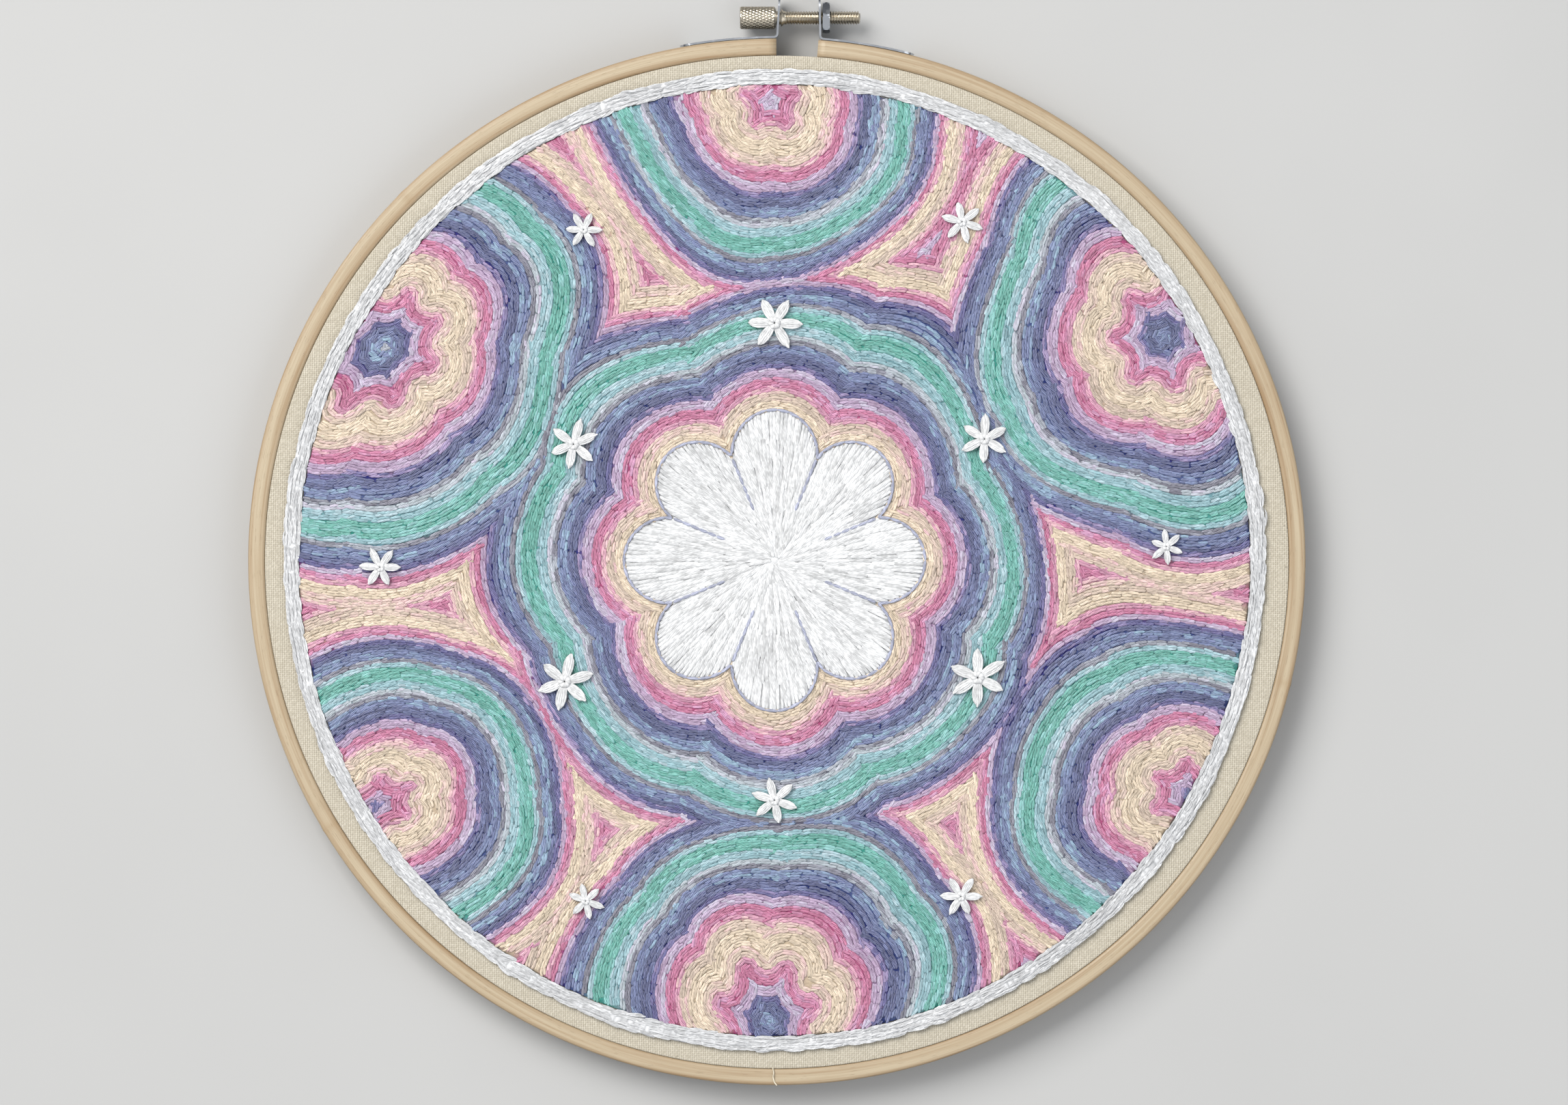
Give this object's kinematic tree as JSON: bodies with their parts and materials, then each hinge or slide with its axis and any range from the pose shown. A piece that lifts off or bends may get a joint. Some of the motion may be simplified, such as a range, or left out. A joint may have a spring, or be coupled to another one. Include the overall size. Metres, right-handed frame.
{
  "type": "hoop embroidery art, an embroidered cloth in a bamboo embroidery hoop",
  "caption": "Round embroidered cloth stretched in a split bamboo hoop with a knurled tension screw, showing a white flower among scalloped bands of coloured chain stitch.",
  "frame": {"origin": "centre of the whole part's box at its base, on the surface that the hoop's back rests on", "axes": "+Z out of the stitched side, +Y from the hoop's centre to the tension screw, +X to the right, along the screw from its knurled head to its threaded end"},
  "size_m": [0.2052, 0.2116, 0.0099],
  "materials": {
    "bamboo": "satin, bare",
    "cotton": "plain-woven natural cotton",
    "coloured_floss": "soft sheen, chain stitch in many tones",
    "white_floss": "soft sheen, off-white",
    "steel": "polished",
    "nickel": "polished, slightly warm"
  },
  "bodies": {
    "hoop": {"outer_hoop": "bamboo", "inner_hoop": "bamboo", "ground_cloth": "cotton", "stitched_field": "coloured_floss", "border_braid": "white_floss", "centre_flower": "white_floss", "daisy_01": "white_floss", "daisy_02": "white_floss", "daisy_03": "white_floss", "daisy_04": "white_floss", "daisy_05": "white_floss", "daisy_06": "white_floss", "daisy_07": "white_floss", "daisy_08": "white_floss", "daisy_09": "white_floss", "daisy_10": "white_floss", "daisy_11": "white_floss", "daisy_12": "white_floss", "bracket_left": "steel", "bracket_right": "steel", "hex_nut": "steel"},
    "screw": {"tension_screw": "nickel"}
  },
  "joints": [
    {"name": "screw_turn", "type": "hinge", "parent": "hoop", "child": "screw", "pos_m": [0, 0.1016, 0.004], "axis": [1, 0, 0], "continuous": true}
  ]
}
